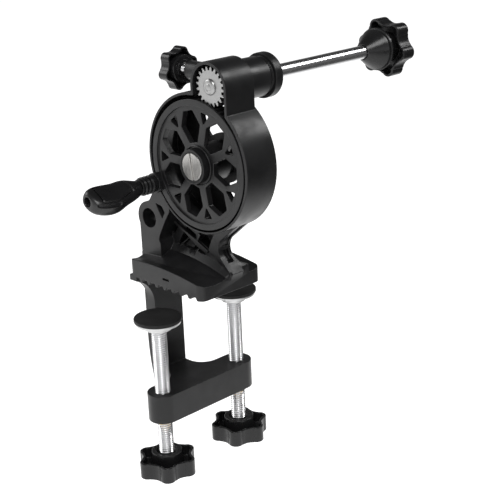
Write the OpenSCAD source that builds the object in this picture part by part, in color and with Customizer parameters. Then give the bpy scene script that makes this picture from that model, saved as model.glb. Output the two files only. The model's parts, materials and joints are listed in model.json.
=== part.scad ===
// Fishing line winder that clamps to a table edge. A hand wheel with a ring of teeth
// turns a pinion, and the pinion turns the long shaft that carries a spool.
// X points out of the clamp's mouth, Y along the spool shaft, Z up. The origin is the
// middle of the jaw's gripping face, in line with the two clamp screws.

/* [Jaw] */
// Depth of the jaw, from its back edge to the mouth
jaw_depth = 70; // [66:1:84]
// Length of the jaw, across the mouth
jaw_length = 52; // [50:1:60]
// Height of the rims along the jaw's two ends
jaw_rim_h = 14.4; // [13:0.2:16]
// Height of the crest where the jaw meets the web
jaw_ridge_h = 17.8; // [17:0.2:20]
// Radius of the crown of the jaw's top, from its back to its mouth
jaw_crown_r = 245; // [200:5:300]
// Radius of the crown of the crest
crest_crown_r = 155; // [130:5:200]
// Distance between the gripping ridges
grip_pitch = 7.8; // [6:0.1:9]
// Depth of the grooves between the gripping ridges
grip_depth = 2; // [1:0.1:3]

/* [Clamp frame] */
// Distance from the column's inner face to the screws
throat = 28; // [26:0.5:34]
// Thickness of the column
column_t = 10; // [8:0.5:14]
// Width of the column
column_w = 24; // [22:1:32]
// Height of the opening between the jaw and the lower arm
mouth_h = 67.8; // [60:0.2:90]
// Height of the lower arm
arm_h = 19.2; // [16:0.2:24]
// Width of the arm's crossbar
arm_w = 20.4; // [19:0.2:24]
// Width of the stem between the column and the crossbar
stem_w = 22.4; // [20:0.2:24]
// Radius of the hollow corners between the stem and the crossbar
stem_fillet_r = 12; // [6:0.5:14]

/* [Clamp screws] */
// Distance between the two clamp screws
screw_span = 66.6; // [64:0.2:80]
// Diameter of the clamp screws
screw_d = 10; // [8:0.5:11]
// Gap between the jaw and the pads as drawn
pad_gap = 15.8; // [6:0.2:30]
// Diameter of the pads
pad_d = 31; // [26:0.5:34]
// Thickness of the rubber on a pad
rubber_t = 2.4; // [1.5:0.1:4]
// Thickness of the steel plate under the rubber
plate_t = 1.8; // [1.2:0.1:3]
// Length of a clamp screw, from the pad to its end inside the knob
screw_len = 103.4; // [103:0.2:130]

/* [Star knobs] */
// Diameter over the lobes of the large knobs
knob_d = 40; // [36:1:46]
// Height of the rim of the large knobs
knob_h = 11; // [9:0.5:15]
// Height of the hub of the large knobs above the rim
knob_hub_rise = 3.8; // [2:0.2:6]
// Diameter over the lobes of the drag knob
drag_knob_d = 27; // [24:0.5:30]
// Height of the rim of the drag knob
drag_knob_h = 7.5; // [6:0.5:9]

/* [Drum housing] */
// Distance from the gripping face to the wheel's axis
wheel_z = 82.5; // [82:0.5:88]
// Distance from the clamp screws to the wheel's axis, toward the mouth
wheel_x = 21.6; // [21:0.2:23]
// Depth of the housing
housing_w = 25; // [24:0.5:28]
// Wall of the drum around its bore
drum_wall = 2.2; // [2:0.1:3.5]
// Height of the drum's centre above the wheel's axis
drum_rise = 1; // [0:0.1:1.5]
// Clearance around the wheel's teeth in the drum's bore
tooth_room = 1; // [0.6:0.1:1.2]
// Thickness of the drum's back wall
back_wall = 2.5; // [2:0.1:4]

/* [Gears] */
// Module of the teeth
gear_module = 1.12; // [1.1:0.01:1.13]
// Number of teeth on the wheel
wheel_teeth = 72; // [72:1:72]
// Number of teeth on the pinion
pinion_teeth = 20; // [20:1:20]
// Direction of the pinion from the wheel's axis, in degrees from the mouth side
pinion_angle = 74.8; // [72:0.2:78]
// Width of the teeth
tooth_w = 9.4; // [8:0.2:10]

/* [Wheel] */
// Number of spokes
spokes = 7; // [5:1:8]
// Thickness of the spokes
spoke_t = 4; // [3:0.2:6]
// Width of the flat ring at the wheel's face
ring_w = 4; // [3:0.1:5]
// Direction of the first spoke, in degrees from the mouth side
spoke_angle = 24.5; // [0:0.5:51]
// Diameter of the wheel's hub
hub_d = 25; // [22:0.5:26]
// Diameter of the raised ring around the axle screw
hub_ring_d = 21.6; // [20:0.2:22]
// Diameter of the axle screw's head
axle_head_d = 17; // [14:0.2:17.2]
// Diameter of the axle screw's shank
axle_d = 8; // [6:0.5:9]

/* [Crank] */
// Distance from the wheel's axis to the crank handle's axis
crank_r = 41.6; // [38:0.2:42]
// Direction of the crank handle from the wheel's axis, in degrees
crank_angle = 204.1; // [195:0.1:212]
// Length of the handle's grip
grip_len = 40; // [34:1:50]
// Width of the grip across its flat
grip_w = 23; // [20:0.5:24]
// Thickness of the grip
grip_t = 12.5; // [11:0.5:15]
// Angle that the grip's flat leans from upright
grip_lean = 31.5; // [0:0.5:60]
// Diameter of the crank's spindle
spindle_d = 5; // [4:0.2:5.4]

/* [Shaft] */
// Diameter of the spool shaft
shaft_d = 9; // [8:0.2:9.4]
// Length of the shaft behind the housing's bearing barrel
shaft_reach = 121; // [110:1:160]
// Diameter of the drive flange
flange_d = 28.2; // [25:0.2:30]
// Length of the drive flange
flange_len = 8.4; // [7:0.2:12]
// Diameter of the spool cone at its wide end
cone_d = 28.6; // [25:0.2:32]
// Length of the spool cone
cone_len = 15.5; // [13:0.5:18]

/* [Tower] */
// Radius of the tower's arch around the pinion
tower_r = 15.4; // [15:0.1:16]
// Diameter of the bearing barrel
barrel_d = 25; // [23:0.2:26]
// Length of the bearing barrel behind the tower
barrel_len = 18; // [15:0.5:22]
// Diameter of the drag boss on the tower's side
drag_boss_d = 11.6; // [11:0.2:12]
// Height of the drag screw above the shaft's axis
drag_rise = 4.8; // [4:0.1:5]
// Diameter of the drag screw
drag_screw_d = 6; // [5:0.2:6]

/* [Ear] */
// Diameter of the hole in the ear
ear_hole_d = 13; // [10:0.5:14]
// Wall around the ear's hole
ear_wall = 4.5; // [3.5:0.1:5]
// Height of the ear's hole above the gripping face
ear_z = 39.6; // [38:0.2:42]

/* [Hidden] */
$fn = 64;

// How far a cut runs past the face that it opens
over = 1;
// Radial clearance of a running fit
run = 0.05;
// Gap between parts that pass without touching
gap = 0.3;

// Faces of the housing along the shaft
front_y = -housing_w / 2;
back_y = housing_w / 2;
wall_y = back_y - back_wall;

// Pinion, and its place above the wheel
pressure_angle = 20;
backlash = 0.12;
wheel_pitch_r = gear_module * wheel_teeth / 2;
pinion_pitch_r = gear_module * pinion_teeth / 2;
wheel_addendum_share = 0.61;
wheel_dedendum_share = 1.2;
pinion_addendum_share = 0.98;
pinion_dedendum_share = 1.12;
centre_distance = wheel_pitch_r + pinion_pitch_r;
shaft_x = wheel_x + centre_distance * cos(pinion_angle);
shaft_z = wheel_z + centre_distance * sin(pinion_angle);
wheel_tip_r = wheel_pitch_r + wheel_addendum_share * gear_module;
wheel_root_r = wheel_pitch_r - wheel_dedendum_share * gear_module;
pinion_tip_r = pinion_pitch_r + pinion_addendum_share * gear_module;
pinion_root_r = pinion_pitch_r - pinion_dedendum_share * gear_module;
drum_bore_r = wheel_tip_r + tooth_room;
drum_r = drum_bore_r + drum_wall;
drum_z = wheel_z + drum_rise;

// The wheel, from its face back
ring_t = 1.6;
ring_r = wheel_tip_r - gear_module / 8;
teeth_y0 = front_y + ring_t;
teeth_y1 = teeth_y0 + tooth_w;
rim_w = 4.2;
hub_rise = 4;
hub_back_y = 5;
hub_seat_d = axle_head_d + 2 * gap;
bush_wall = 2;
bush_d = axle_d + 2 * bush_wall;
axle_head_t = 2.6;
axle_head_y = front_y - hub_rise;
washer_t = 1;
slot_w = 1.6;
slot_depth = 1.1;
slot_lean = 7.7;
axle_thread_d = 6;
axle_insert_wall = 1.5;
boss_wall = 8;

// Pinion and shaft, from the front back
pinion_y0 = teeth_y0 + gap;
pinion_y1 = teeth_y1 - gap;
sleeve_d = 16;
pinion_screw_d = 10;
pinion_screw_t = 1.8;
pinion_thread_d = 4;
chamber_gap = 1.1;
bearing_d = 17;
bearing_w = 5;
bearing_lip = 2;
grub_d = 3;
nut_wall = 2.5;
spool_knob_turn = -10;
brake_y1 = 8;
brake_gap = 1.2;
tower_back_y = 11;
barrel_y1 = tower_back_y + barrel_len;
flange_gap = 1.3;
flange_y0 = barrel_y1 + flange_gap;
flange_y1 = flange_y0 + flange_len;
shaft_y1 = barrel_y1 + shaft_reach;
shaft_thread_d = shaft_d - 1;
shaft_thread_len = 19.2;
thread_end = 6.5;
cone_y1 = shaft_y1 - thread_end;
cone_y0 = cone_y1 - cone_len;

// Drag brake beside the tower
drag_y = 3.2;
drag_z = shaft_z + drag_rise;
drag_boss_x = 3.5;
shoe_d = 7.2;
shoe_len = 11.1;
shoe_x0 = shaft_x - shoe_len;
drag_pad_t = 1.5;
drag_knob_x = -12;
drag_knob_turn = -13.6;

// Clamp
column_x = -throat;
arm_z1 = -mouth_h;
arm_z0 = arm_z1 - arm_h;
screw_z1 = -pad_gap - rubber_t;
screw_z0 = screw_z1 - screw_len;
insert_d = 15;
insert_h = 12;
pad_boss_d = 17;
rubber_lip = 1.6;
pad_boss_h = 4;
left_knob_turn = 20;
right_knob_turn = 7;

// Ear
ear_shift = 0.7;
ear_x = ear_shift - throat;
ear_r = ear_hole_d / 2 + ear_wall;

// Crank
crank_x = wheel_x + crank_r * cos(crank_angle);
crank_z = wheel_z + crank_r * sin(crank_angle);
lug_t = 3.2;
spindle_step = 0.5;
lug_gap = 0.6;
lug_d = 13;
lug_neck_share = 0.9;
lug_y0 = front_y - lug_gap - lug_t;
collar_d = 10.4;
collar_len = 12;
collar_ridge_d = 12;
grip_y1 = lug_y0 - collar_len - gap;
grip_y0 = grip_y1 - grip_len;
grip_seat = grip_len / 4;

// Frame web between the jaw and the drum
web_y0 = -1;
web_y1 = 8.5;
web_back_t = 3;
rib_t = 2.2;
rib_rise = 1.5;
skirt_w = 3.3;
skirt_h = 4.2;

// Solid turned about a line along Y, from depth y0 to y1
module turned(r, y0, y1) {
    translate([0, y1, 0]) rotate([90, 0, 0]) cylinder(r = r, h = y1 - y0);
}

// Outline seen from the front, given thickness from depth y0 to y1
module plate(y0, y1) {
    translate([0, y1, 0]) rotate([90, 0, 0]) linear_extrude(y1 - y0) children();
}

// Outline seen from the mouth, with Y across and Z up, from x0 to x1
module slab(x0, x1) {
    translate([x0, 0, 0]) rotate([90, 0, 90]) linear_extrude(x1 - x0) children();
}

// Profile with its axis upright, turned and laid along Y with its top toward the spool
module revolve_y() {
    rotate([-90, 0, 0]) rotate_extrude() children();
}

// Convex outline with round corners of radius r about the centres c, anticlockwise
module soft_outline(c, r, steps = 4) {
    n = len(c);
    polygon([for (i = [0 : n - 1]) let (a = c[(i + n - 1) % n], b = c[i], d = c[(i + 1) % n],
        u = b - a, v = d - b, a0 = atan2(-u.x, u.y), turn = (atan2(-v.x, v.y) - a0 + 360) % 360)
        each [for (j = [0 : steps]) let (t = a0 + turn * j / steps) b + r * [cos(t), sin(t)]]]);
}

// Straight rib of width w between two points
module bar(a, b, w) {
    d = b - a;
    n = [-d.y, d.x] * w / norm(d) / 2;
    polygon([a - n, b - n, b + n, a + n]);
}

// Angle whose radians are the involute of the pressure angle at radius r
function involute_angle(rb, r) =
    let (c = min(1, rb / r), a = acos(c)) (tan(a) * 180 / PI) - a;

// Outline of a gear, with its first tooth at the angle start
module gear_outline(teeth, root_r, tip_r, steps, start) {
    pitch_r = gear_module * teeth / 2;
    base_r = pitch_r * cos(pressure_angle);
    half = (PI * gear_module / 2 - backlash) / (2 * pitch_r) * 180 / PI
        + involute_angle(base_r, pitch_r);
    first_r = max(root_r, base_r);
    flank = [for (i = [0 : steps]) first_r + (tip_r - first_r) * i / steps];
    radii = root_r < base_r ? [root_r, each flank] : flank;
    n = len(radii) - 1;
    function edge(r, side, mid) =
        let (a = mid + side * (half - involute_angle(base_r, r))) r * [cos(a), sin(a)];
    polygon([for (t = [0 : teeth - 1]) let (mid = start + t * 360 / teeth)
        each concat([for (r = radii) edge(r, -1, mid)],
            [for (i = [n : -1 : 0]) edge(radii[i], 1, mid)])]);
}

// Star knob with six round lobes, its hub side up at z = 0 and its rim below
module star_knob(d, h, hub_d, hub_rise, bore_d, turn) {
    lobes = 6;
    // Radii and places of the outline's circles, in shares of the knob's radius
    lobe_share = 0.25;
    mid_share = 0.86;
    valley_share = 0.8;
    scoop_share = 0.4;
    wall_share = 0.085;
    r = d / 2;
    wall = r * wall_share;
    floor_t = h * 0.34;
    module star(inset) {
        difference() {
            union() {
                circle(r * mid_share - inset);
                for (i = [0 : lobes - 1]) rotate(turn + i * 360 / lobes)
                    translate([r * (1 - lobe_share), 0]) circle(r * lobe_share - inset);
            }
            for (i = [0 : lobes - 1]) rotate(turn + (i + 0.5) * 360 / lobes)
                translate([r * (valley_share + scoop_share), 0]) circle(r * scoop_share + inset);
        }
    }
    difference() {
        union() {
            difference() {
                translate([0, 0, -h]) linear_extrude(h) star(0);
                translate([0, 0, floor_t - h]) linear_extrude(h) star(wall);
            }
            translate([0, 0, -h]) cylinder(d = hub_d, h = h + hub_rise);
        }
        translate([0, 0, floor_t - h]) cylinder(d = bore_d, h = h + hub_rise);
    }
}

// The jaw: crowned top with a shallow dish at each end, and a crest that carries the web
module jaw() {
    corner_r = 5;
    crown_x = -12;
    crest_x = -15;
    rim_w = 1.8;
    dish_r = 40;
    dish_depth = 1.2;
    crest_w = 1.1;
    crest_rise = jaw_ridge_h - jaw_rim_h + dish_depth;
    crest_y0 = web_y0 - skirt_w - crest_w;
    crest_y1 = web_y1 + crest_w;
    dish_w = 2 * sqrt(dish_r * dish_r - (dish_r - dish_depth) * (dish_r - dish_depth));
    land_share = 0.26;
    flank_share = 0.14;
    grooves = 2 * floor(jaw_depth / grip_pitch / 2);
    slot_l = 6;
    slot_h = 1.4;
    slot_x = 1.4;
    slot_share = 0.46;
    difference() {
        intersection() {
            union() {
                translate([crown_x, 0, jaw_rim_h - jaw_crown_r]) revolve_y() difference() {
                    translate([jaw_crown_r / 2, -jaw_length / 2]) square([jaw_crown_r / 2, jaw_length]);
                    for (s = [-1, 1]) translate([jaw_crown_r + dish_r - dish_depth,
                        s * (jaw_length / 2 - rim_w - dish_w / 2)]) circle(dish_r, $fn = 180);
                }
                translate([crest_x, 0, jaw_ridge_h - crest_crown_r]) revolve_y() {
                    difference() {
                        translate([crest_crown_r / 2, -jaw_length / 2])
                            square([crest_crown_r / 2, jaw_length]);
                        for (e = [[-1, crest_y0], [1, crest_y1]]) {
                            w = jaw_length / 2 - rim_w - abs(e[1]);
                            sweep_r = (w * w + crest_rise * crest_rise) / (2 * crest_rise);
                            translate([crest_crown_r - crest_rise + sweep_r,
                                e[0] * (jaw_length / 2 - rim_w)]) circle(sweep_r, $fn = 180);
                        }
                    }
                    // Slope from the crest up to the web
                    polygon([[crest_crown_r - over, web_y0 - skirt_w], [crest_crown_r, web_y0 - skirt_w],
                        [crest_crown_r + skirt_h, web_y0], [crest_crown_r + skirt_h, web_y1],
                        [crest_crown_r - over, web_y1]]);
                }
            }
            linear_extrude(2 * jaw_ridge_h) soft_outline([
                for (p = [[-1, -1], [1, -1], [1, 1], [-1, 1]])
                    [p.x * (jaw_depth / 2 - corner_r), p.y * (jaw_length / 2 - corner_r)]], corner_r, 8);
        }
        plate(-jaw_length / 2 - over, jaw_length / 2 + over)
            for (i = [0 : grooves - 1]) translate([(i - (grooves - 1) / 2) * grip_pitch, 0]) {
                w = grip_pitch * (1 - land_share) / 2;
                polygon([[-w, -over], [w, -over], [w, 0], [w - grip_pitch * flank_share, grip_depth],
                    [-w + grip_pitch * flank_share, grip_depth], [-w, 0]]);
            }
        // Small slot in each end
        for (s = [-1, 1]) plate(s * jaw_length / 2 - rim_w, s * jaw_length / 2 + rim_w)
            translate([slot_x - slot_l / 2, jaw_rim_h * slot_share]) square([slot_l, slot_h]);
    }
}

// Column behind the mouth, with the flares that carry the jaw's ends
module column() {
    back_r = 150;
    bend_z = -44;
    flare_h = 20;
    flare_t = 9;
    back_x = column_x - column_t;
    plate(-column_w / 2, column_w / 2) difference() {
        translate([back_x, arm_z0]) square([column_t, jaw_rim_h - arm_z0]);
        difference() {
            translate([back_x, arm_z0]) square([column_t / 2, bend_z - arm_z0]);
            translate([back_x + back_r, bend_z]) circle(back_r, $fn = 360);
        }
    }
    intersection() {
        slab(back_x + over, back_x + over + flare_t) difference() {
            translate([-jaw_length / 2, -flare_h]) square([jaw_length, flare_h + grip_depth + over]);
            for (s = [-1, 1]) translate([s * (column_w / 2 + flare_h), -flare_h])
                circle(flare_h);
        }
        linear_extrude(2 * (flare_h + jaw_rim_h), center = true)
            translate([-jaw_depth / 2, -jaw_length / 2]) square([jaw_depth, jaw_length]);
    }
}

// Lower arm: a stem from the column to a crossbar with round ends
module lower_arm() {
    f = stem_fillet_r;
    translate([0, 0, arm_z0]) linear_extrude(arm_h) {
        for (s = [-1, 1]) {
            translate([0, s * screw_span / 2]) circle(d = arm_w);
            difference() {
                translate([-arm_w / 2 - f, s > 0 ? 0 : -stem_w / 2 - f])
                    square([arm_w / 2 + f, stem_w / 2 + f]);
                translate([-arm_w / 2 - f, s * (stem_w / 2 + f)]) circle(f);
            }
        }
        translate([-arm_w / 2, -screw_span / 2]) square([arm_w, screw_span]);
        translate([column_x - column_t / 2, -stem_w / 2])
            square([throat + column_t / 2, stem_w]);
    }
}

// Outline of the web's concave front edge, which grows outward by inset
module web_hollow(inset) {
    r_share = 0.2;
    rise_angle = 39.5;
    fall_angle = -44.2;
    waist_share = 0.75;
    reach = 2 * drum_r;
    r = drum_r * r_share;
    c = [jaw_depth / 2 * waist_share + r, jaw_ridge_h + r];
    soft_outline([c, c + reach * [cos(fall_angle), sin(fall_angle)],
        c + reach * [cos(rise_angle), sin(rise_angle)]], r + inset, 12);
}

// Web between the jaw and the drum, with ribs on its front and a ledge on its mouth side
module web() {
    side_depth = 2.7;
    side_wall = 2.2;
    ledge_share = 0.22;
    ledge_z = jaw_ridge_h + drum_r * ledge_share;
    foot_r = 7;
    foot_share = 0.5;
    lean_share = 0.46;
    crest_z = jaw_ridge_h - rib_t / 2;
    back_x = column_x - column_t + over;
    // Places on the web's front, from the drum's centre, in shares of the drum's radius
    deep_shares = [
        [[-0.618, -1.111], [-0.564, -1.093], [-0.387, -1.17], [-0.403, -1.234]],
        [[-0.313, -1.154], [-0.227, -1.136], [-0.098, -1.252], [-0.116, -1.331], [-0.329, -1.24]],
        [[-0.648, -1.179], [-0.555, -1.243], [-0.648, -1.308], [-0.79, -1.439], [-0.799, -1.419]],
        [[-0.401, -1.34], [-0.349, -1.36], [-0.489, -1.489], [-0.507, -1.462]],
    ];
    shallow_shares = [
        [[-0.537, -1.258], [-0.412, -1.344], [-0.51, -1.471], [-0.74, -1.449], [-0.639, -1.34]],
        [[-0.322, -1.372], [-0.195, -1.419], [-0.252, -1.514], [-0.444, -1.494]],
        [[-0.227, -1.136], [-0.016, -1.107], [-0.084, -1.317], [-0.098, -1.252]],
    ];
    rib_shares = [[[-0.86, -1.026], [-0.12, -1.372]], [[-0.275, -1.13], [-0.348, -1.237]]];
    leg_shares = [[0.1, -0.962], [0.043, -1.05], [-0.027, -1.17], [-0.102, -1.335], [-0.07, -1.385],
        [0.018, -1.385], [0.075, -1.477], [0.136, -1.5], [0.235, -1.545], [0.314, -1.588],
        [0.45, -1.588], [0.45, -0.8]];
    ear_edge_shares = [[-0.647, -0.821], [-0.749, -0.971], [-0.828, -1.109], [-0.896, -1.231],
        [-0.914, -1.296], [-0.885, -1.351]];
    ear_slot_shares = [[-0.937, -0.733], [-0.805, -0.762], [-0.749, -0.848], [-0.812, -0.946],
        [-0.88, -0.844]];
    ear_top_shares = [[-0.64, -0.62], [-0.88, -0.42]];
    function place(t) = [for (q = t) [wheel_x, drum_z] + drum_r * q];
    edge = place(ear_edge_shares);
    top = place(ear_top_shares);
    module outline() {
        difference() {
            polygon([[back_x, jaw_rim_h / 2], [jaw_depth / 2, jaw_rim_h / 2],
                [jaw_depth / 2 + drum_r * lean_share / 2, jaw_ridge_h + drum_r * lean_share / 2],
                [wheel_x + drum_r * lean_share, drum_z], [ear_x, drum_z - drum_r / 2],
                [back_x, ear_z]]);
            web_hollow(0);
        }
    }
    difference() {
        plate(web_y0, web_y1) outline();
        plate(web_y0 - over, web_y1 - web_back_t) intersection() {
            for (t = deep_shares) polygon(place(t));
            translate([-jaw_depth, crest_z]) square([2 * jaw_depth, drum_z]);
        }
        plate(web_y0 - over, web_y0 + rib_t) intersection() {
            for (t = shallow_shares) polygon(place(t));
            translate([-jaw_depth, crest_z]) square([2 * jaw_depth, drum_z]);
        }
        // Groove beside the ear
        plate(web_y0 - over, web_y1 - web_back_t)
            for (i = [0 : 2]) bar(edge[i], edge[i + 1], 2 * rib_t);
        // Recesses of the mouth side, above the ledge and below it
        plate(web_y0 + side_wall, web_y1 - side_wall) {
            intersection() {
                web_hollow(side_depth / 3);
                translate([0, ledge_z]) square([2 * drum_r, drum_r * lean_share]);
            }
            intersection() {
                web_hollow(side_depth);
                translate([0, jaw_ridge_h]) square([2 * drum_r, ledge_z - rib_t - jaw_ridge_h]);
            }
        }
    }
    // Raised ribs and leg on the front
    plate(web_y0 - rib_rise, web_y1 - web_back_t + over)
        for (t = rib_shares) bar(place(t)[0], place(t)[1], rib_t);
    plate(web_y0 - rib_rise, web_y0 + over) intersection() {
        polygon(place(leg_shares));
        outline();
    }
    // Foot on the jaw
    intersection() {
        plate(web_y1 - over, web_y1 + foot_r) outline();
        slab(jaw_depth / 2 * foot_share, jaw_depth / 2) difference() {
            translate([web_y1 - over, jaw_rim_h / 2]) square([foot_r + over, jaw_rim_h / 2 + foot_r]);
            translate([web_y1 + foot_r, jaw_rim_h + foot_r]) circle(foot_r);
        }
    }
    // Ear with a cross hole, standing up from the column
    plate(front_y, web_y1) difference() {
        union() {
            translate([ear_x, ear_z]) circle(ear_r);
            polygon([[back_x, jaw_rim_h / 2], [edge[5].x, jaw_rim_h / 2], edge[5], edge[4], edge[3],
                edge[2], edge[1], edge[0], top[0], top[1], [ear_x, ear_z + ear_r * 0.98],
                [ear_x - ear_r * 0.9, ear_z], [back_x, ear_z - ear_r]]);
        }
        polygon(place(ear_slot_shares));
    }
}

// Drum, tower, bearing barrel, web, jaw, column and arm, moulded in one piece
module main_frame() {
    bore_lift = 1.4;
    bore_shift = 0.5;
    window_rim = 6;
    window_gap = 3.5;
    window_r0 = hub_d / 2 + window_gap;
    window_r1 = drum_bore_r - window_rim;
    window_turns = [59, 173, 279];
    window_spans = [72, 44, 72];
    shoe_bore_x = shoe_x0 - drag_pad_t * 1.6;
    thread_run = drag_screw_d / 2 + run;
    color("dimgray") difference() {
        union() {
            difference() {
                union() {
                    plate(front_y, back_y) translate([wheel_x, drum_z]) circle(drum_r, $fn = 180);
                    plate(front_y, tower_back_y) {
                        translate([shaft_x, shaft_z]) circle(tower_r);
                        translate([shaft_x - tower_r, wheel_z + drum_r / 2])
                            square([2 * tower_r, shaft_z - wheel_z - drum_r / 2]);
                    }
                    web();
                    jaw();
                    column();
                    lower_arm();
                }
                // Bore of the drum, cut twice, a little higher the second time
                plate(front_y - over, wall_y) translate([wheel_x, wheel_z]) {
                    circle(drum_bore_r, $fn = 180);
                    translate([-bore_shift, bore_lift]) circle(drum_bore_r, $fn = 180);
                }
            }
            translate([shaft_x, 0, shaft_z]) turned(barrel_d / 2, wall_y - over, barrel_y1);
            translate([drag_boss_x, drag_y, drag_z]) rotate([0, 90, 0])
                cylinder(d = drag_boss_d, h = shaft_x - drag_boss_x - shoe_d);
            // Boss that carries the axle
            translate([wheel_x, 0, wheel_z]) turned(axle_thread_d / 2 + boss_wall,
                hub_back_y + washer_t, back_y);
        }
        // Pinion chamber, open at the front and down into the drum
        plate(front_y - over, pinion_y1 + gap) {
            translate([shaft_x, shaft_z]) circle(pinion_tip_r + chamber_gap);
            translate([shaft_x - pinion_tip_r - chamber_gap, wheel_z + drum_bore_r * 0.7])
                square([2 * (pinion_tip_r + chamber_gap), shaft_z - wheel_z - drum_bore_r * 0.7]);
        }
        translate([shaft_x, 0, shaft_z]) {
            turned(sleeve_d / 2 + brake_gap, pinion_y1, brake_y1);
            turned(bearing_d / 2, brake_y1 - over, brake_y1 + bearing_w);
            turned(bearing_d / 2 - bearing_lip, brake_y1, barrel_y1);
            turned(bearing_d / 2, barrel_y1 - bearing_w, barrel_y1 + over);
        }
        // Drag screw's thread and the shoe's bore
        translate([0, drag_y, drag_z]) rotate([0, 90, 0]) {
            translate([0, 0, drag_boss_x - over]) cylinder(r = thread_run, h = shaft_x - drag_boss_x);
            translate([0, 0, shoe_bore_x]) cylinder(r = shoe_d / 2 + run, h = shaft_x - shoe_bore_x);
        }
        // Windows in the back wall
        for (i = [0 : len(window_turns) - 1])
            plate(wall_y - over, back_y + over) translate([wheel_x, wheel_z])
                rotate(window_turns[i]) intersection() {
                    difference() {
                        circle(window_r1, $fn = 180);
                        circle(window_r0);
                    }
                    polygon([[0, 0], 2 * window_r1 * [1, 0],
                        2 * window_r1 * [cos(window_spans[i] / 2), sin(window_spans[i] / 2)],
                        2 * window_r1 * [cos(window_spans[i]), sin(window_spans[i])]]);
                }
        translate([ear_x, 0, ear_z]) turned(ear_hole_d / 2, front_y - over, web_y1 + over);
        translate([wheel_x, 0, wheel_z]) turned(axle_thread_d / 2 + axle_insert_wall,
            hub_back_y, back_y + over);
        for (s = [-1, 1]) translate([0, s * screw_span / 2, arm_z0]) {
            translate([0, 0, -over]) cylinder(d = insert_d, h = insert_h + over);
            cylinder(d = screw_d + 2 * gap, h = arm_h + over);
        }
    }
}

// Threaded bush pressed into the arm from below
module thread_insert(side) {
    color("silver") translate([0, side * screw_span / 2, arm_z0]) difference() {
        cylinder(d = insert_d, h = insert_h);
        translate([0, 0, -over]) cylinder(d = screw_d + 2 * run, h = insert_h + 2 * over);
    }
}

// Threaded bush in the drum's boss that holds the axle screw
module axle_insert() {
    color("goldenrod") translate([wheel_x, 0, wheel_z]) difference() {
        turned(axle_thread_d / 2 + axle_insert_wall, hub_back_y + washer_t, back_y - gap);
        turned(axle_thread_d / 2, hub_back_y, back_y);
    }
}

// Slotted shoulder screw on which the wheel turns
module axle_screw() {
    color("silver") translate([wheel_x, 0, wheel_z]) difference() {
        union() {
            turned(axle_head_d / 2, axle_head_y, axle_head_y + axle_head_t);
            turned(axle_d / 2, axle_head_y, hub_back_y + washer_t);
            turned(axle_thread_d / 2, hub_back_y, back_y - 2 * gap);
        }
        rotate([0, -slot_lean, 0]) translate([-slot_w / 2, axle_head_y - over, -axle_head_d])
            cube([slot_w, slot_depth + over, 2 * axle_head_d]);
    }
}

// Thrust washer between the wheel's hub and the boss
module axle_washer() {
    color("silver") translate([wheel_x, 0, wheel_z]) difference() {
        turned(hub_d * 0.36, hub_back_y, hub_back_y + washer_t - run);
        turned(axle_d / 2 + run, hub_back_y - over, hub_back_y + washer_t + over);
    }
}

// Hand wheel with Y spokes, a toothed rim and the lug that carries the crank
module gear_wheel() {
    rim_in_r = wheel_root_r - rim_w;
    spoke_y0 = front_y + 1.2;
    step = 360 / spokes;
    // Window between two stems, along X, as corner centres in shares of the inner rim radius
    big_r = 1.2;
    big_share = [[0.437, -0.083], [0.7, -0.212], [0.935, -0.1],
        [0.935, 0.1], [0.7, 0.212], [0.437, 0.083]];
    // Small window in the fork of a spoke
    small_r = 0.7;
    small_share = [[0.8, 0], [0.95, -0.072], [0.95, 0.072]];
    color([0.16, 0.16, 0.17]) difference() {
        union() {
            translate([wheel_x, 0, wheel_z]) {
                plate(front_y, teeth_y0) circle(ring_r, $fn = 180);
                plate(teeth_y0, teeth_y1)
                    gear_outline(wheel_teeth, wheel_root_r, wheel_tip_r, 2, pinion_angle);
                turned(hub_d / 2, spoke_y0, hub_back_y - run);
                turned(hub_ring_d / 2, axle_head_y, front_y);
            }
            // Lug beyond the rim, in front of the housing
            translate([crank_x, 0, crank_z]) turned(lug_d / 2, lug_y0, lug_y0 + lug_t);
            plate(lug_y0, lug_y0 + lug_t) intersection() {
                bar([wheel_x, wheel_z] + (crank_r - lug_d) * [cos(crank_angle), sin(crank_angle)],
                    [crank_x, crank_z], lug_d * lug_neck_share);
                translate([wheel_x, wheel_z]) difference() {
                    circle(crank_r + lug_d / 2);
                    circle(ring_r - ring_w);
                }
            }
            plate(lug_y0, teeth_y0) intersection() {
                bar([wheel_x, wheel_z], [crank_x, crank_z], lug_d * lug_neck_share);
                translate([wheel_x, wheel_z]) difference() {
                    circle(ring_r);
                    circle(ring_r - ring_w);
                }
            }
        }
        translate([wheel_x, 0, wheel_z]) {
            // Hollow in front of the spokes and behind them
            plate(front_y - over, spoke_y0) difference() {
                circle(ring_r - ring_w, $fn = 180);
                circle(hub_ring_d / 2);
            }
            plate(spoke_y0 + spoke_t, teeth_y1 + over) difference() {
                circle(rim_in_r, $fn = 180);
                circle(hub_d / 2);
            }
            for (i = [0 : spokes - 1]) plate(spoke_y0 - over, spoke_y0 + spoke_t + over) {
                rotate(spoke_angle + (i + 0.5) * step) soft_outline(rim_in_r * big_share, big_r);
                rotate(spoke_angle + i * step) soft_outline(rim_in_r * small_share, small_r);
            }
            // Seat of the axle screw's head and the bush
            turned(hub_seat_d / 2, axle_head_y - over, axle_head_y + axle_head_t + gap);
            turned(bush_d / 2, axle_head_y, hub_back_y + over);
        }
        translate([crank_x, 0, crank_z]) turned(spindle_d / 2 - spindle_step, lug_y0 - over, lug_y0 + lug_t);
    }
}

// Sintered bush pressed into the wheel
module axle_bush() {
    bush_y0 = axle_head_y + axle_head_t + gap;
    color("peru") translate([wheel_x, 0, wheel_z]) difference() {
        turned(bush_d / 2, bush_y0, hub_back_y - run);
        turned(axle_d / 2 + run, bush_y0 - over, hub_back_y + over);
    }
}

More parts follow.
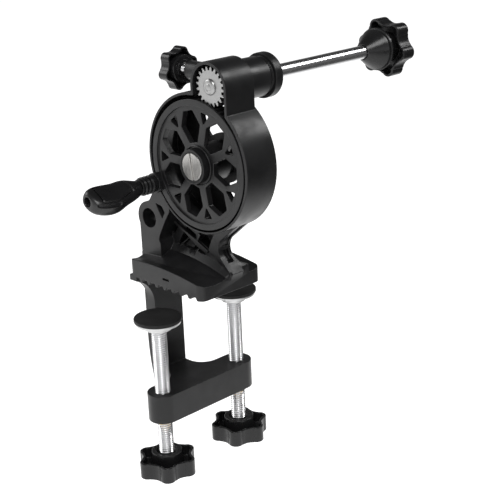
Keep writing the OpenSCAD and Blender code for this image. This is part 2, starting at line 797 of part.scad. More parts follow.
// Shoulder bolt on which the grip turns
module crank_spindle() {
    color("silver") translate([crank_x, 0, crank_z]) {
        turned(spindle_d / 2 - spindle_step, lug_y0, lug_y0 + lug_t - gap);
        turned(spindle_d / 2, grip_y0 + grip_seat - gap, lug_y0);
    }
}

// Ridged collar between the lug and the grip
module crank_collar() {
    ridges = 3;
    pitch = collar_len / (ridges + 1);
    color([0.16, 0.16, 0.17]) translate([crank_x, 0, crank_z]) difference() {
        union() {
            turned(collar_d / 2, lug_y0 - collar_len, lug_y0);
            for (i = [1 : ridges]) translate([0, lug_y0 - i * pitch, 0])
                turned(collar_ridge_d / 2, -pitch / 4, pitch / 4);
        }
        turned(spindle_d / 2, lug_y0 - collar_len - over, lug_y0 + over);
    }
}

// Flat oval grip that turns on the spindle, with a raised pad on its broad face
module crank_grip() {
    neck_r = grip_t * 0.3;
    end_r = grip_w * 0.2;
    belly_r = grip_w * 0.4;
    side_r = grip_t * 0.42;
    steps = 8;
    color([0.16, 0.16, 0.17]) translate([crank_x, grip_y0, crank_z]) rotate([0, grip_lean, 0])
        difference() {
            intersection() {
                // Outline of the broad face, Y along the grip
                translate([0, 0, -grip_t]) linear_extrude(2 * grip_t) {
                    soft_outline([[-end_r / 2, end_r], [end_r / 2, end_r],
                        [grip_w / 2 - belly_r, grip_len * 0.42], [grip_w / 2 - belly_r, grip_len * 0.5],
                        [-grip_w / 2 + belly_r, grip_len * 0.5], [-grip_w / 2 + belly_r, grip_len * 0.42]],
                        belly_r, steps);
                    soft_outline([[-neck_r / 2, end_r], [neck_r / 2, end_r],
                        [neck_r / 2, grip_len - neck_r], [-neck_r / 2, grip_len - neck_r]], neck_r, steps);
                }
                // Rounded across the thickness
                rotate([-90, 0, 0]) linear_extrude(grip_len) soft_outline([
                    for (p = [[-1, -1], [1, -1], [1, 1], [-1, 1]])
                        [p.x * (grip_w / 2 - side_r), p.y * (grip_t / 2 - side_r)]], side_r, steps);
            }
            turned(spindle_d / 2 + run, -over, grip_len + over);
            turned(spindle_d * 0.6, -over, grip_seat);
        }
}

// Cap screw that keeps the grip on the spindle, inside the grip's end
module grip_screw() {
    head_y = grip_y0 + grip_seat - gap;
    color("silver") translate([crank_x, 0, crank_z])
        turned(spindle_d * 0.55, head_y - spindle_d * 0.5, head_y);
}

// Ring bearing at one end of the barrel
module shaft_bearing(y0) {
    color("silver") translate([shaft_x, 0, shaft_z]) difference() {
        turned(bearing_d / 2, y0, y0 + bearing_w);
        turned(shaft_d / 2 + run, y0 - over, y0 + bearing_w + over);
    }
}

// Pinion with the smooth sleeve that the drag shoe bears on
module pinion_gear() {
    color("silver") translate([shaft_x, 0, shaft_z]) difference() {
        union() {
            plate(pinion_y0, pinion_y1) gear_outline(pinion_teeth, pinion_root_r, pinion_tip_r,
                4, pinion_angle + 180 + 180 / pinion_teeth);
            turned(sleeve_d / 2, pinion_y1, brake_y1 - gap);
        }
        turned(shaft_d / 2, pinion_y0 - over, brake_y1 + over);
    }
}

// Round-headed screw in the shaft's end
module pinion_screw() {
    color("silver") translate([shaft_x, 0, shaft_z]) {
        turned(pinion_screw_d / 2, pinion_y0 - pinion_screw_t, pinion_y0);
        turned(pinion_thread_d / 2, pinion_y0, pinion_y1);
    }
}

// Long steel shaft, with a thread at its spool end
module spool_shaft() {
    color("silver") translate([shaft_x, 0, shaft_z]) difference() {
        union() {
            turned(shaft_d / 2, pinion_y0, shaft_y1 - shaft_thread_len);
            turned(shaft_thread_d / 2, shaft_y1 - shaft_thread_len, shaft_y1);
        }
        turned(pinion_thread_d / 2, pinion_y0 - over, pinion_y1);
    }
}

// Flange that drives the spool, with rounded edges
module drive_flange() {
    edge_r = 2.4;
    color([0.16, 0.16, 0.17]) translate([shaft_x, 0, shaft_z]) difference() {
        revolve_y() translate([0, flange_y0]) {
            square([flange_d / 2 - edge_r, flange_len]);
            translate([0, edge_r / 2]) square([flange_d / 2, flange_len - 1.5 * edge_r]);
            translate([flange_d / 2 - edge_r, flange_len - edge_r]) circle(edge_r);
        }
        turned(shaft_d / 2, flange_y0 - over, flange_y1 + over);
        translate([0, flange_y0 + flange_len / 2, 0]) cylinder(d = grub_d, h = flange_d);
    }
}

// Grub screw that fixes the flange on the shaft
module flange_grub_screw() {
    color("silver") translate([shaft_x, flange_y0 + flange_len / 2, shaft_z + shaft_d / 2 + run])
        cylinder(d = grub_d, h = flange_d / 2 - shaft_d / 2 - 4 * gap);
}

// Cone that centres the spool
module spool_cone() {
    lip = 1;
    land = 2.8;
    color([0.16, 0.16, 0.17]) translate([shaft_x, 0, shaft_z]) difference() {
        revolve_y() translate([0, cone_y0]) polygon([[0, 0], [shaft_d / 2 + lip, 0],
            [cone_d / 2, cone_len - land], [cone_d / 2, cone_len], [0, cone_len]]);
        turned(shaft_d / 2 + run, cone_y0 - over, cone_y1 + over);
    }
}

// Star knob that tightens the cone, its hub toward the cone
module spool_knob() {
    hub_y = cone_y1 + gap;
    color([0.16, 0.16, 0.17]) translate([shaft_x, hub_y + knob_hub_rise, shaft_z])
        rotate([90, 0, 0]) difference() {
            star_knob(knob_d, knob_h, knob_d / 2, knob_hub_rise, shaft_thread_d + 2 * run, spool_knob_turn);
            translate([0, 0, -knob_h / 2]) cylinder(d = shaft_thread_d + 2 * nut_wall, h = knob_h + knob_hub_rise);
            translate([0, 0, -knob_h - over]) cylinder(d = shaft_thread_d + 4 * gap, h = 2 * knob_h);
        }
}

// Threaded bush inside the spool knob
module spool_knob_nut() {
    hub_y = cone_y1 + gap;
    nut_len = knob_h / 2 + knob_hub_rise;
    color("goldenrod") translate([shaft_x, 0, shaft_z]) difference() {
        turned(shaft_thread_d / 2 + nut_wall, hub_y, hub_y + nut_len);
        turned(shaft_thread_d / 2 + run, hub_y - over, hub_y + nut_len + over);
    }
}

// Shoe that the drag screw presses toward the pinion's sleeve
module drag_shoe() {
    color("dimgray") difference() {
        translate([shoe_x0, drag_y, drag_z]) rotate([0, 90, 0])
            cylinder(d = shoe_d, h = shaft_x - shoe_x0);
        translate([shaft_x, 0, shaft_z])
            turned(sleeve_d / 2 + gap + drag_pad_t, -shoe_d, drag_y + shoe_d);
        translate([shaft_x, -shoe_d, 0]) cube([shoe_d, 3 * shoe_d, shaft_z + shoe_d]);
    }
}

// Friction lining on the shoe
module drag_pad() {
    color("saddlebrown") intersection() {
        translate([shoe_x0, drag_y, drag_z]) rotate([0, 90, 0])
            cylinder(d = shoe_d, h = shaft_x - shoe_x0 - sleeve_d / 4);
        translate([shaft_x, 0, shaft_z]) difference() {
            turned(sleeve_d / 2 + gap + drag_pad_t, -shoe_d, drag_y + shoe_d);
            turned(sleeve_d / 2 + gap, -shoe_d - over, drag_y + shoe_d + over);
        }
    }
}

// Drag screw through the tower's boss
module drag_screw() {
    color("silver") translate([drag_knob_x + drag_knob_h * 0.5, drag_y, drag_z]) rotate([0, 90, 0])
        cylinder(d = drag_screw_d, h = shoe_x0 - drag_knob_x - drag_knob_h * 0.5);
}

// Small star knob of the drag screw
module drag_knob() {
    hub_rise = 2.6;
    color([0.16, 0.16, 0.17]) translate([drag_knob_x + drag_knob_h, drag_y, drag_z])
        rotate([0, 90, 0]) difference() {
            star_knob(drag_knob_d, drag_knob_h, drag_boss_d, hub_rise, drag_screw_d, drag_knob_turn);
            translate([0, 0, -drag_knob_h * 0.5]) cylinder(d = drag_screw_d, h = drag_knob_h);
        }
}

// Steel plate of a pad, with the socket that holds the screw's end
module pad_plate(side) {
    plate_z1 = -pad_gap - rubber_t;
    color("silver") translate([0, side * screw_span / 2, plate_z1]) difference() {
        union() {
            translate([0, 0, -plate_t]) cylinder(d = pad_d - rubber_lip, h = plate_t);
            translate([0, 0, -plate_t - pad_boss_h]) cylinder(d = pad_boss_d, h = pad_boss_h);
        }
        translate([0, 0, -plate_t - pad_boss_h - over])
            cylinder(d = screw_d + 2 * run, h = pad_boss_h + over);
    }
}

// Rubber face of a pad
module pad_rubber(side) {
    color([0.12, 0.12, 0.12]) translate([0, side * screw_span / 2, -pad_gap - rubber_t])
        cylinder(d = pad_d, h = rubber_t);
}

// Clamp screw, up to the socket in its pad
module clamp_screw(side) {
    top = -pad_gap - rubber_t - plate_t;
    color("silver") translate([0, side * screw_span / 2, screw_z0])
        cylinder(d = screw_d, h = top - screw_z0);
}

// Star knob fixed on the lower end of a clamp screw, its hollow side up
module clamp_knob(side) {
    floor_share = 0.34;
    color([0.16, 0.16, 0.17])
        translate([0, side * screw_span / 2, screw_z0 + knob_h * (1 - floor_share)])
            star_knob(knob_d, knob_h, knob_d / 2, knob_hub_rise, screw_d,
                side < 0 ? left_knob_turn : right_knob_turn);
}

main_frame();
thread_insert(-1);  // left_thread_insert
thread_insert(1);  // right_thread_insert
axle_insert();
axle_screw();
axle_washer();
gear_wheel();
axle_bush();
crank_spindle();
crank_collar();
crank_grip();
grip_screw();
shaft_bearing(brake_y1);  // front_bearing
shaft_bearing(barrel_y1 - bearing_w);  // rear_bearing
pinion_gear();
pinion_screw();
spool_shaft();
drive_flange();
flange_grub_screw();
spool_cone();
spool_knob();
spool_knob_nut();
drag_shoe();
drag_pad();
drag_screw();
drag_knob();
pad_plate(-1);  // left_pad_plate
pad_rubber(-1);  // left_pad_rubber
clamp_screw(-1);  // left_clamp_screw
clamp_knob(-1);  // left_clamp_knob
pad_plate(1);  // right_pad_plate
pad_rubber(1);  // right_pad_rubber
clamp_screw(1);  // right_clamp_screw
clamp_knob(1);  // right_clamp_knob
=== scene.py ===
# Looks of the fishing line winder: moulded black plastic, a bright pinion and steel screws,
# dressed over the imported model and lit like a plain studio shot.
import itertools
import json
import math

import bmesh
import bpy
from mathutils import Matrix, Vector
from mathutils.bvhtree import BVHTree


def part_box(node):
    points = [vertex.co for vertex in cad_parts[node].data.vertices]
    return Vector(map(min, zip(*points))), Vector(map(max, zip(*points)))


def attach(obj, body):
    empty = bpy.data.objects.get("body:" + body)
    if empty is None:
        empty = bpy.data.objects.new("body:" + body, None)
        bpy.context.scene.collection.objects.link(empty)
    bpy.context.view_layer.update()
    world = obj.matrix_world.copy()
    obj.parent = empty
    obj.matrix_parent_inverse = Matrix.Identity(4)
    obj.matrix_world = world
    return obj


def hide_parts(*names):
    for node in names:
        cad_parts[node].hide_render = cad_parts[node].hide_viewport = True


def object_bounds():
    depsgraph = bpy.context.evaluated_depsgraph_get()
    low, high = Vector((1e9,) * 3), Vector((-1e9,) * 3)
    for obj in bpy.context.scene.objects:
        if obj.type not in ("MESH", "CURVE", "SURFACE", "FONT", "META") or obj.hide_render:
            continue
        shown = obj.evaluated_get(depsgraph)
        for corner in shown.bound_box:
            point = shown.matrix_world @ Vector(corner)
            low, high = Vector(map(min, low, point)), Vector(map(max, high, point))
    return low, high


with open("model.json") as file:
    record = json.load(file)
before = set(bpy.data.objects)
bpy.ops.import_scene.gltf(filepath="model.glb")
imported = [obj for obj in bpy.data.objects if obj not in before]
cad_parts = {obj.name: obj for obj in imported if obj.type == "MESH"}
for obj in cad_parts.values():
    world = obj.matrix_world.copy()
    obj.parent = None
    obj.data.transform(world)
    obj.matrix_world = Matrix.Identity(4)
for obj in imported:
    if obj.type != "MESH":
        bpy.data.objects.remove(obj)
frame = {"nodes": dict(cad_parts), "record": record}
cad_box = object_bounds()

# Lengths are in mm and angles in degrees, up to the studio's numbers, which are in metres.
MM = 0.001
X, Y, Z = 0, 1, 2

# Meshes
WELD = 0.002                # points of a CAD node closer than this are one
SLIVER = 0.01               # edges of a CAD node shorter than this go
FLAT_BELOW = 0.1            # triangles that meet at less than this join to one flat face
SMOOTH_BELOW = 35           # shaded smooth below this, sharp above
ROUNDED_ABOVE = 30          # edges sharper than this are rounded
POINTED_BELOW = 50          # edges that meet at less than this stay sharp
SPARE_REACH = 3             # edges this close to a spare place stay sharp
OVERSHOOT = 0.45            # share of the rounding's width that a point may leave the surface
ROUNDED_WELD = 0.003        # points closer than this are one after rounding
FRAME_SPARE = ((2.3, -1, 21), (33.3, -1, 14.5))  # corners where ribs run out into the web
THREAD_STEPS = 24
LATHE_STEPS = 96

# Threads: radius, depth and pitch
CLAMP_THREAD = (4.99, 0.75, 1.5)
DRAG_THREAD = (2.99, 0.5, 1.0)

# Wheel hub's rim: its radius and wall, and how far it stands out from the spokes and reaches in
SPOKE_FACE = -11.3
HUB_RIM_R = 12.6
HUB_RIM_WALL = 0.8
HUB_RIM_OUT = 1.25
HUB_RIM_IN = 0.6
HUB_RIM_EDGE = 0.25

# Knob hubs: outer radius, recess radius and recess depth
CLAMP_HUB = (10, 6.9, 2.0)
DRAG_HUB = (5.8, 4.0, 1.2)
KNOB_BORE_R = 5
KNOB_FLOOR_R = 5.3
DRAG_RING = (5.6, 8.7)      # radii
DRAG_RING_BACK = (6.8, 0.4)  # both ends, measured back from the knob's end
DRAG_RING_EDGE = 0.4

# Crank grip
GRIP_LEAN = 31.5
GRIP_SIDES = 24
# Distance from the outer end, half width, half thickness, side shift and squareness of each
# section, from the end hole over the outside to the spindle's bore
GRIP_STATIONS = (
    (7.6, 3.0, 3.0, 0.0, 2.0), (0.7, 3.0, 3.0, 0.0, 2.0), (0.15, 3.3, 3.3, 0.0, 2.0),
    (0.0, 3.9, 3.7, 0.1, 2.0), (0.2, 5.2, 4.5, 0.6, 2.3), (1.4, 7.4, 5.5, 1.0, 2.6),
    (4.6, 9.2, 6.1, 1.3, 3.0), (9.0, 10.1, 6.3, 2.0, 3.2), (13.5, 10.2, 6.3, 2.4, 3.2),
    (18.0, 9.7, 6.2, 2.5, 3.1), (22.5, 8.9, 6.0, 1.7, 3.0), (27.5, 8.4, 5.8, 0.4, 2.8),
    (32.0, 7.6, 5.5, 0.4, 2.6), (36.0, 6.2, 5.1, 0.5, 2.3), (39.0, 5.2, 4.7, 0.4, 2.1),
    (40.0, 4.6, 4.4, 0.2, 2.0), (40.0, 2.6, 2.6, 0.0, 2.0), (39.4, 2.56, 2.56, 0.0, 2.0),
    (10.2, 2.56, 2.56, 0.0, 2.0), (10.0, 3.0, 3.0, 0.0, 2.0))
PAD_SPAN = (3.5, 31.0)      # along the grip
PAD_FACING = 0.8            # its faces look this much along the grip's rise
PAD_STEPS = ((0.5, 0.0), (0.45, -0.9), (0.6, 0.9))  # inset and depth
GROOVE_SPAN = (1.4, 15.8)
GROOVE_FACING = (0.25, 0.8)
GROOVE_SIDE = -0.3
GROOVE_HEIGHT = 2.0
GROOVE_AREA = 1.5           # mm2
GROOVE_STEPS = ((0.25, 0.0), (0.15, -1.1))

# Spool cone
CONE_CLEARANCE = 0.15

# Studio, in metres and watts
LAMPS = (
    ("key_lamp", (0.9, -0.9, 1.3), 0.9, 16.0),
    ("side_lamp", (-1.2, -0.5, 0.8), 0.9, 7.0),
    ("back_lamp", (0.66, 0.99, 0.92), 0.5, 6.0))
LAMP_AIM = Vector((0.0, 0.03, 0.03))
DIFFUSE_AIR = 0.40
FLOOR_DROP = 0.055          # below the clamp knobs at their lowest
FLOOR_HALF = 3.0
FLOOR_PAPER = 0.75
FLOOR_FAR = 0.04            # paper and glow far behind, as reflections see them
FLOOR_GLOW = 0.72
CAMERA_LENS = 86.57         # mm, on a 36 mm sensor
CAMERA_PLACE = (0.5528, -0.4834, 0.2716)
CAMERA_RIGHT = Vector((0.7039, 0.7092, -0.0388))
CAMERA_DOWN = Vector((0.2059, -0.2560, -0.9445))
CAMERA_AHEAD = Vector((-0.6798, 0.6569, -0.3262))


# Finishes

def shader(name, colour, rough, metallic=0.0):
    """A material with a plain principled shader, its nodes and the shader."""
    mat = bpy.data.materials.new(name)
    mat.use_nodes = True
    tree = mat.node_tree
    skin = tree.nodes["Principled BSDF"]
    skin.inputs["Base Color"].default_value = (*colour, 1)
    skin.inputs["Roughness"].default_value = rough
    skin.inputs["Metallic"].default_value = metallic
    return mat, tree, skin


def noise(tree, scale, detail=3.0, stretch=None):
    """Noise on object coordinates. Scale is in waves per metre."""
    where = tree.nodes.new("ShaderNodeTexCoord")
    grain = tree.nodes.new("ShaderNodeTexNoise")
    grain.inputs["Scale"].default_value = scale
    grain.inputs["Detail"].default_value = detail
    if stretch:
        turn = tree.nodes.new("ShaderNodeMapping")
        turn.inputs["Scale"].default_value = stretch
        tree.links.new(where.outputs["Object"], turn.inputs["Vector"])
        tree.links.new(turn.outputs["Vector"], grain.inputs["Vector"])
    else:
        tree.links.new(where.outputs["Object"], grain.inputs["Vector"])
    return grain.outputs["Fac"]


def mapped(tree, source, start, end, low, high, step="SMOOTHSTEP"):
    """Maps start to end of a number onto low to high."""
    span = tree.nodes.new("ShaderNodeMapRange")
    span.interpolation_type = step
    for name, value in (("From Min", start), ("From Max", end), ("To Min", low), ("To Max", high)):
        span.inputs[name].default_value = value
    tree.links.new(source, span.inputs["Value"])
    return span.outputs["Result"]


def spread(tree, source, low, high):
    """Maps the middle of a noise evenly onto low to high."""
    return mapped(tree, source, 0.35, 0.65, low, high, "LINEAR")


def blend_colour(tree, source, low, high):
    """A ramp between two colours over a pattern."""
    ramp = tree.nodes.new("ShaderNodeValToRGB")
    for stop, place, colour in zip(ramp.color_ramp.elements, (0.3, 0.7), (low, high)):
        stop.position = place
        stop.color = (*colour, 1)
    tree.links.new(source, ramp.inputs["Fac"])
    return ramp.outputs["Color"]


def relief(tree, skin, source, height):
    """Bump from a pattern, with its height in metres."""
    bump = tree.nodes.new("ShaderNodeBump")
    bump.inputs["Distance"].default_value = height
    bump.inputs["Strength"].default_value = 1.0
    tree.links.new(source, bump.inputs["Height"])
    tree.links.new(bump.outputs["Normal"], skin.inputs["Normal"])


def moulded(name, dark, light, rough, grain_mm, height_mm, gloss=0.5):
    """Black moulded plastic: slight cloudiness, uneven sheen and a fine mould grain."""
    mat, tree, skin = shader(name, dark, rough)
    skin.inputs["Specular IOR Level"].default_value = gloss
    tree.links.new(blend_colour(tree, noise(tree, 60.0), dark, light), skin.inputs["Base Color"])
    tree.links.new(spread(tree, noise(tree, 90.0, 4.0), rough - 0.05, rough + 0.07),
                   skin.inputs["Roughness"])
    relief(tree, skin, noise(tree, 1000.0 / grain_mm, 2.0), height_mm * MM)
    return mat


def metal(name, dark, light, rough, stretch=None, line_mm=0.3, height_mm=0.002):
    """Bare or plated metal with machining lines."""
    mat, tree, skin = shader(name, light, rough, 1.0)
    lines = noise(tree, 1000.0 / line_mm, 2.0, stretch)
    tree.links.new(blend_colour(tree, lines, dark, light), skin.inputs["Base Color"])
    tree.links.new(spread(tree, lines, rough - 0.06, rough + 0.08), skin.inputs["Roughness"])
    relief(tree, skin, lines, height_mm * MM)
    return mat


FRAME_BLACK = moulded("frame_black", (0.007, 0.007, 0.0075), (0.012, 0.012, 0.0125),
                      0.36, 0.5, 0.005, 0.37)
WHEEL_BLACK = moulded("wheel_black", (0.007, 0.007, 0.0075), (0.012, 0.012, 0.0125),
                      0.34, 0.5, 0.004, 0.38)
GRIP_BLACK = moulded("grip_black", (0.008, 0.008, 0.0085), (0.013, 0.013, 0.0135),
                     0.30, 0.5, 0.004, 0.45)
KNOB_BLACK = moulded("knob_black", (0.006, 0.006, 0.0065), (0.011, 0.011, 0.0115),
                     0.26, 0.5, 0.003, 0.38)
RUBBER_BLACK = moulded("rubber_black", (0.008, 0.008, 0.008), (0.016, 0.016, 0.016),
                       0.62, 0.25, 0.02, 0.3)
LINING_BROWN = moulded("lining_brown", (0.10, 0.06, 0.035), (0.18, 0.11, 0.06), 0.8, 0.3, 0.03)
PINION_ZINC = metal("pinion_zinc", (0.30, 0.30, 0.30), (0.44, 0.44, 0.435),
                    0.34, None, 0.25, 0.004)
TURNED_STEEL = metal("turned_steel", (0.44, 0.43, 0.42), (0.58, 0.57, 0.55),
                     0.32, (1, 1, 0.04), 0.3)
BRIGHT_STEEL = metal("bright_steel", (0.72, 0.72, 0.73), (0.84, 0.84, 0.85),
                     0.20, None, 0.4, 0.001)
ROD_STEEL = metal("rod_steel", (0.74, 0.74, 0.75), (0.84, 0.84, 0.85),
                  0.22, (1, 0.03, 1), 0.3, 0.001)
PLAIN_STEEL = metal("plain_steel", (0.50, 0.50, 0.50), (0.66, 0.66, 0.66), 0.34, None, 0.3)
BEARING_STEEL = metal("bearing_steel", (0.48, 0.48, 0.49), (0.60, 0.60, 0.61), 0.26, (1, 0.02, 1))
INSERT_BRASS = metal("insert_brass", (0.62, 0.44, 0.20), (0.78, 0.58, 0.28), 0.3, (1, 1, 0.05))
BUSH_BRONZE = metal("bush_bronze", (0.36, 0.22, 0.12), (0.52, 0.34, 0.19), 0.5, None, 0.12, 0.006)

FINISHES = {
    "frame_plastic": FRAME_BLACK, "wheel_plastic": WHEEL_BLACK, "grip_plastic": GRIP_BLACK,
    "knob_plastic": KNOB_BLACK, "pinion_zinc": PINION_ZINC, "turned_steel": TURNED_STEEL,
    "polished_steel": BRIGHT_STEEL, "plain_steel": PLAIN_STEEL, "bearing_steel": BEARING_STEEL,
    "insert_brass": INSERT_BRASS, "sintered_bronze": BUSH_BRONZE, "drag_lining": LINING_BROWN,
    "pad_rubber": RUBBER_BLACK,
}
SLOT_OF = {part["node"]: part["material_slot"] for part in frame["record"]["subparts"]}
BODY_OF = {node: body for body, held in frame["record"]["behaviour"]["bodies"].items()
           for node in held}


def paint_nodes():
    """Gives each CAD node its finish. The spool shaft is drawn rod with lines along it."""
    for node, slot in SLOT_OF.items():
        surface = frame["nodes"][node].data
        surface.materials.clear()
        surface.materials.append(ROD_STEEL if node == "spool_shaft" else FINISHES[slot])


# Making pieces

def middle(node):
    """Centre of a CAD node's box."""
    low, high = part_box(node)
    return (low + high) / 2


def new_edges(grown):
    """Edges among the results of a bmesh operator."""
    return [e for e in grown if isinstance(e, bmesh.types.BMEdge)]


def piece(bm, name, body, mat, stands_for=(), angle=SMOOTH_BELOW):
    """Turns a bmesh into a finished piece that rides on a body."""
    mesh = bpy.data.meshes.new(name)
    bm.to_mesh(mesh)
    bm.free()
    mesh.shade_smooth()
    mesh.set_sharp_from_angle(angle=math.radians(angle))
    mesh.materials.append(mat)
    obj = bpy.data.objects.new(name, mesh)
    bpy.context.scene.collection.objects.link(obj)
    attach(obj, body)
    if stands_for:
        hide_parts(*stands_for)
    return obj


def merged_copy(node):
    """A bmesh of a CAD node, merged, with its flat faces whole again."""
    bm = bmesh.new()
    bm.from_mesh(frame["nodes"][node].data)
    bmesh.ops.remove_doubles(bm, verts=bm.verts, dist=WELD * MM)
    bmesh.ops.dissolve_degenerate(bm, dist=SLIVER * MM, edges=bm.edges)
    bmesh.ops.dissolve_limit(bm, angle_limit=math.radians(FLAT_BELOW),
                             verts=bm.verts, edges=bm.edges)
    return bm


def soften(bm, width_mm, segments, spare=()):
    """Rounds the sharp edges of a bmesh and lays any corner that overshoots back on its surface.

    Edges that meet at a point stay sharp, and so do those close to the spare places."""
    skin = BVHTree.FromBMesh(bm)
    edges = {e for e in bm.edges
             if len(e.link_faces) == 2 and e.calc_face_angle() > math.radians(ROUNDED_ABOVE)}
    pointed = set()
    for vert in bm.verts:
        sharp = [e for e in vert.link_edges if e in edges]
        for first, second in itertools.combinations(sharp, 2):
            ways = [e.other_vert(vert).co - vert.co for e in (first, second)]
            if ways[0].angle(ways[1]) < math.radians(POINTED_BELOW):
                pointed |= {first, second}
        if any((vert.co / MM - Vector(place)).length < SPARE_REACH for place in spare):
            pointed |= set(sharp)
    edges = [e for e in bm.edges if e in edges and e not in pointed]
    bmesh.ops.bevel(bm, geom=edges, offset=width_mm * MM, offset_type="OFFSET",
                    affect="EDGES", segments=segments, profile=0.5, material=-1,
                    clamp_overlap=False, miter_outer="ARC", miter_inner="SHARP",
                    spread=width_mm * MM)
    for vert in bm.verts:
        near, _, _, gap = skin.find_nearest(vert.co)
        if gap > OVERSHOOT * width_mm * MM:
            vert.co = near
    bmesh.ops.remove_doubles(bm, verts=bm.verts, dist=ROUNDED_WELD * MM)
    bmesh.ops.dissolve_degenerate(bm, dist=ROUNDED_WELD * MM, edges=bm.edges)
    bmesh.ops.triangulate(bm, faces=[f for f in bm.faces if len(f.verts) > 4],
                          ngon_method="EAR_CLIP")


def recut(bm, centre, axis, level, outer, inner, steps):
    """Puts steps into a flat ring face, each a (radius, rise), from its outer edge inward."""
    across = [i for i in range(3) if i != axis]
    level_slack, edge_slack = 0.05 * MM, 0.1 * MM

    def radius(co):
        return math.hypot(*(co[i] - centre[i] for i in across))

    ring = [f for f in bm.faces if abs(f.normal[axis]) > 0.99
            and all(abs(v.co[axis] - level) < level_slack and radius(v.co) < outer + edge_slack
                    for v in f.verts)]
    rims = {e for f in ring for e in f.edges if sum(g in ring for g in e.link_faces) == 1}
    bmesh.ops.delete(bm, geom=ring, context="FACES")
    rim = [e for e in rims if radius(e.verts[0].co) > (outer + inner) / 2]
    hole = [e for e in rims if radius(e.verts[0].co) <= (outer + inner) / 2]
    for new_radius, rise in steps:
        grown = bmesh.ops.extrude_edge_only(bm, edges=rim)["geom"]
        rim = new_edges(grown)
        for vert in (v for v in grown if isinstance(v, bmesh.types.BMVert)):
            share = new_radius / radius(vert.co)
            for i in across:
                vert.co[i] = centre[i] + (vert.co[i] - centre[i]) * share
            vert.co[axis] = level + rise
    bmesh.ops.bridge_loops(bm, edges=rim + hole)
    bmesh.ops.recalc_face_normals(bm, faces=bm.faces)


def knob_hub(node, axis, outer_mm, inner_mm, depth_mm):
    """Ring-shaped hub of a star knob, with a recess round the screw, as recut reads it."""
    return (middle(node), axis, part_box(node)[1][axis], outer_mm * MM, KNOB_BORE_R * MM,
            ((inner_mm * MM, 0.0), (inner_mm * MM, -depth_mm * MM),
             (KNOB_FLOOR_R * MM, -depth_mm * MM)))


def dressed(node, width_mm, segments=3, cut=None, spare=()):
    """A CAD node's own shape with rounded edges."""
    slot = SLOT_OF[node]
    bm = merged_copy(node)
    if cut:
        recut(bm, *cut)
    soften(bm, width_mm, segments, spare)
    obj = piece(bm, node + "_moulding", BODY_OF[node], FINISHES[slot], (node,))
    evened = obj.modifiers.new("evened_normals", "WEIGHTED_NORMAL")
    evened.keep_sharp = True


def thread_mesh(radius_mm, depth_mm, pitch_mm, z0_mm, z1_mm):
    """A right-handed thread along Z: one turn's profile, spun upward and cut flat at both ends."""
    turns = int((z1_mm - z0_mm) / pitch_mm) + 3
    low = z0_mm - 1.5 * pitch_mm
    root_mm = radius_mm - depth_mm
    bm = bmesh.new()
    profile = [bm.verts.new((r * MM, 0, (low + share * pitch_mm) * MM)) for r, share in (
        (root_mm, 0.0), (radius_mm, 0.42), (radius_mm, 0.58), (root_mm, 1.0))]
    edges = [bm.edges.new(pair) for pair in zip(profile, profile[1:])]
    bmesh.ops.spin(bm, geom=profile + edges, cent=(0, 0, 0), axis=(0, 0, 1),
                   dvec=(0, 0, pitch_mm * MM / THREAD_STEPS), angle=math.tau * turns,
                   steps=THREAD_STEPS * turns)
    bmesh.ops.remove_doubles(bm, verts=bm.verts, dist=SLIVER * MM)
    for z_mm, way in ((z0_mm, -1), (z1_mm, 1)):
        cut = bmesh.ops.bisect_plane(bm, geom=bm.verts[:] + bm.edges[:] + bm.faces[:],
                                     plane_co=(0, 0, z_mm * MM), plane_no=(0, 0, way),
                                     clear_outer=True)
        bmesh.ops.edgeloop_fill(bm, edges=new_edges(cut["geom_cut"]))
    bmesh.ops.recalc_face_normals(bm, faces=bm.faces)
    return bm


def turned_piece(name, node, centre, axis, profile, mat, stands_for=(), angle=SMOOTH_BELOW,
                 closed=False):
    """A piece turned about X or Y: profile points are (radius, place along the axis) in mm."""
    bm = bmesh.new()
    points = [bm.verts.new((r * MM, 0, place * MM)) for r, place in profile]
    pairs = zip(points, points[1:] + (points[:1] if closed else []))
    edges = [bm.edges.new(pair) for pair in pairs]
    bmesh.ops.spin(bm, geom=points + edges, cent=(0, 0, 0), axis=(0, 0, 1), dvec=(0, 0, 0),
                   angle=math.tau, steps=LATHE_STEPS, use_merge=True)
    bmesh.ops.remove_doubles(bm, verts=bm.verts, dist=0.001 * MM)
    quarter, about = (math.pi / 2, "Y") if axis == X else (-math.pi / 2, "X")
    bmesh.ops.rotate(bm, verts=bm.verts, cent=(0, 0, 0),
                     matrix=Matrix.Rotation(quarter, 3, about))
    place = centre.copy()
    place[axis] = 0
    bmesh.ops.translate(bm, verts=bm.verts, vec=place)
    bmesh.ops.recalc_face_normals(bm, faces=bm.faces)
    obj = piece(bm, name, BODY_OF[node], mat, stands_for, angle)


def rounded_ring(inner, outer, low, high, edge):
    """Closed profile of a ring with its four edges eased."""
    return ((inner, low + edge), (inner + edge, low), (outer - edge, low), (outer, low + edge),
            (outer, high - edge), (outer - edge * 0.3, high - edge * 0.3), (outer - edge, high),
            (inner + edge, high), (inner + edge * 0.3, high - edge * 0.3), (inner, high - edge))


# The winder's own pieces

def clamp_screw(side):
    """Threaded M10 clamp screw in place of its plain cylinder."""
    node = side + "_clamp_screw"
    low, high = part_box(node)
    bm = thread_mesh(*CLAMP_THREAD, low.z / MM, high.z / MM)
    bmesh.ops.translate(bm, verts=bm.verts, vec=((low.x + high.x) / 2, (low.y + high.y) / 2, 0))
    obj = piece(bm, side + "_threaded_screw", BODY_OF[node], BRIGHT_STEEL, (node,))


